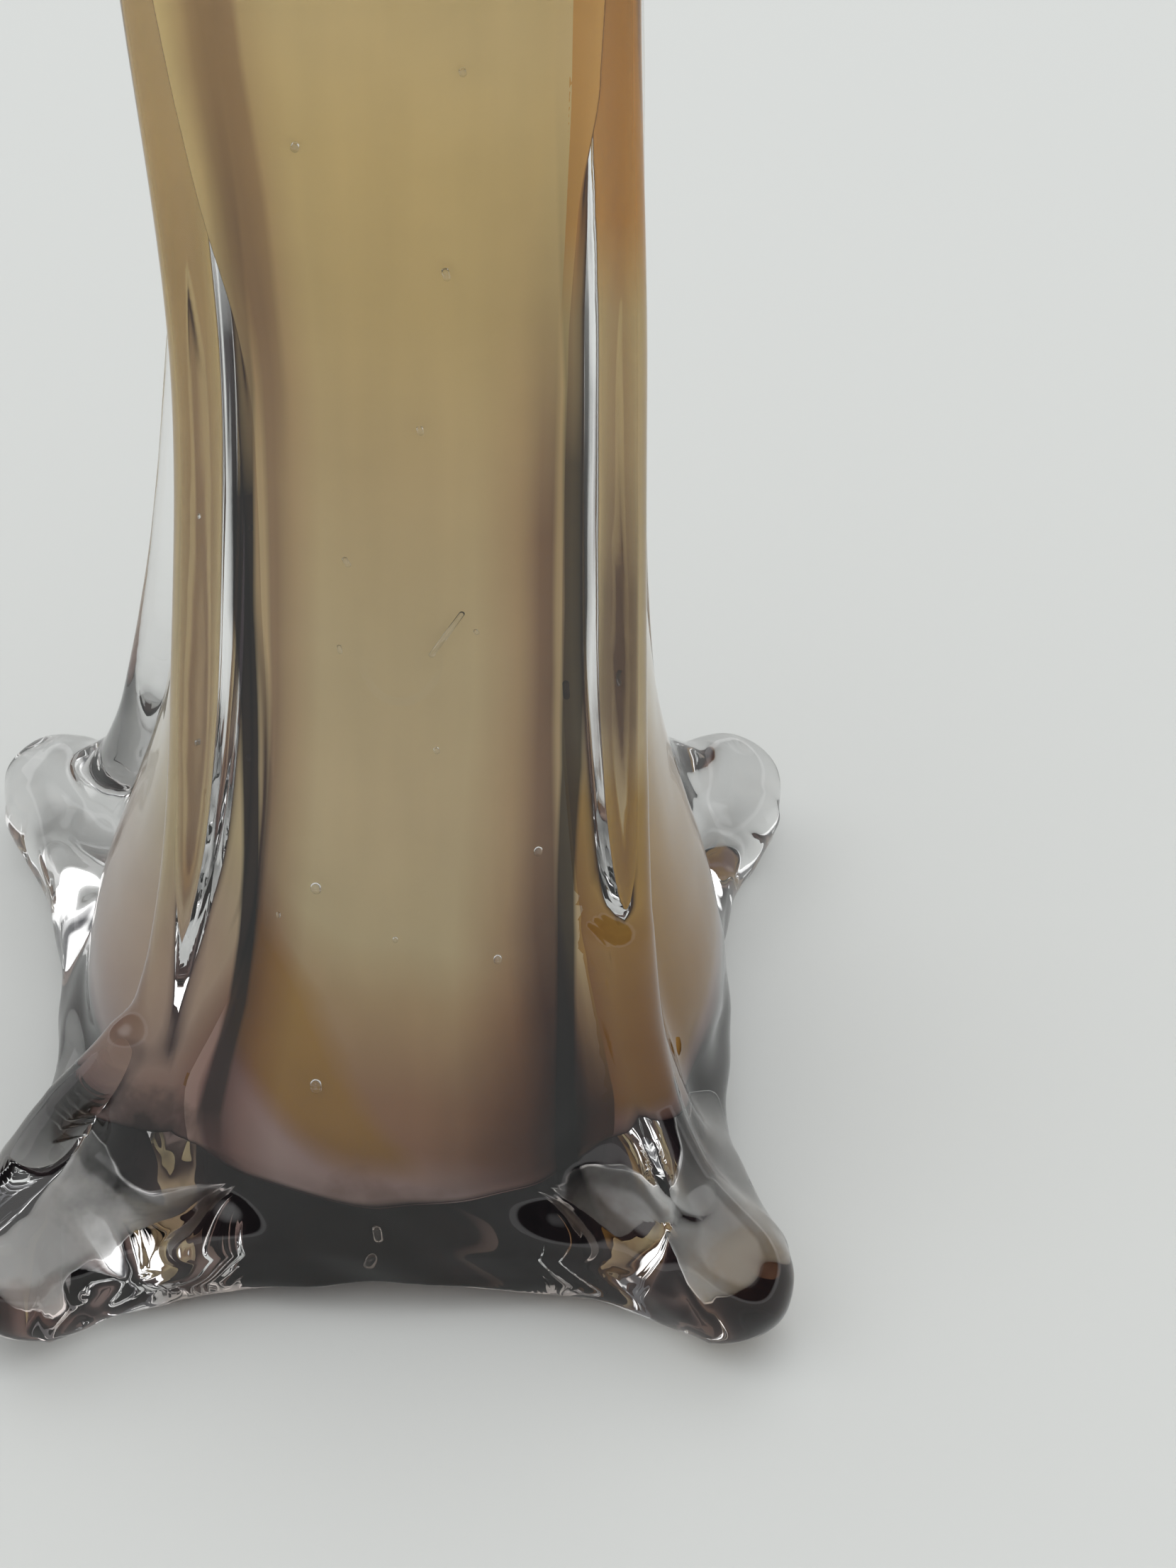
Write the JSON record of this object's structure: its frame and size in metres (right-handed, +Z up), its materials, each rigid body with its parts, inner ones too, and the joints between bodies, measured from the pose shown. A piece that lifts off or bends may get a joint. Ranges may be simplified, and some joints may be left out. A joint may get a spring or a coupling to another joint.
{
  "type": "cased glass vase",
  "caption": "Cased art glass vase: opal core with amethyst and amber, clear crystal drawn out into ribs and feet.",
  "frame": {"origin": "middle of the four feet, on the surface the vase stands on", "axes": "+Z up along the vase, -Y towards the front panel, +X to the right as seen from the front"},
  "size_m": [0.1206, 0.1206, 0.2993],
  "materials": {
    "clear_crystal": "fire-polished clear crystal with a few seed bubbles",
    "opal_glass": "opaque beige opal glass, golden tan above and greyer below",
    "amethyst_glass": "thin smoky amethyst glass, mauve over the opal",
    "amber_glass": "amber to ochre glass with soft edges"
  },
  "bodies": {
    "root": {"opal_core": "opal_glass", "amethyst_layer": "amethyst_glass", "amber_swirl_front": "amber_glass", "amber_swirl_right": "amber_glass", "amber_swirl_shoulder": "amber_glass", "clear_casing": "clear_crystal", "clear_base": "clear_crystal", "rib_front_left": "clear_crystal", "rib_front_right": "clear_crystal", "rib_back_right": "clear_crystal", "rib_back_left": "clear_crystal", "foot_front_left": "clear_crystal", "foot_front_right": "clear_crystal", "foot_back_right": "clear_crystal", "foot_back_left": "clear_crystal"}
  },
  "joints": []
}
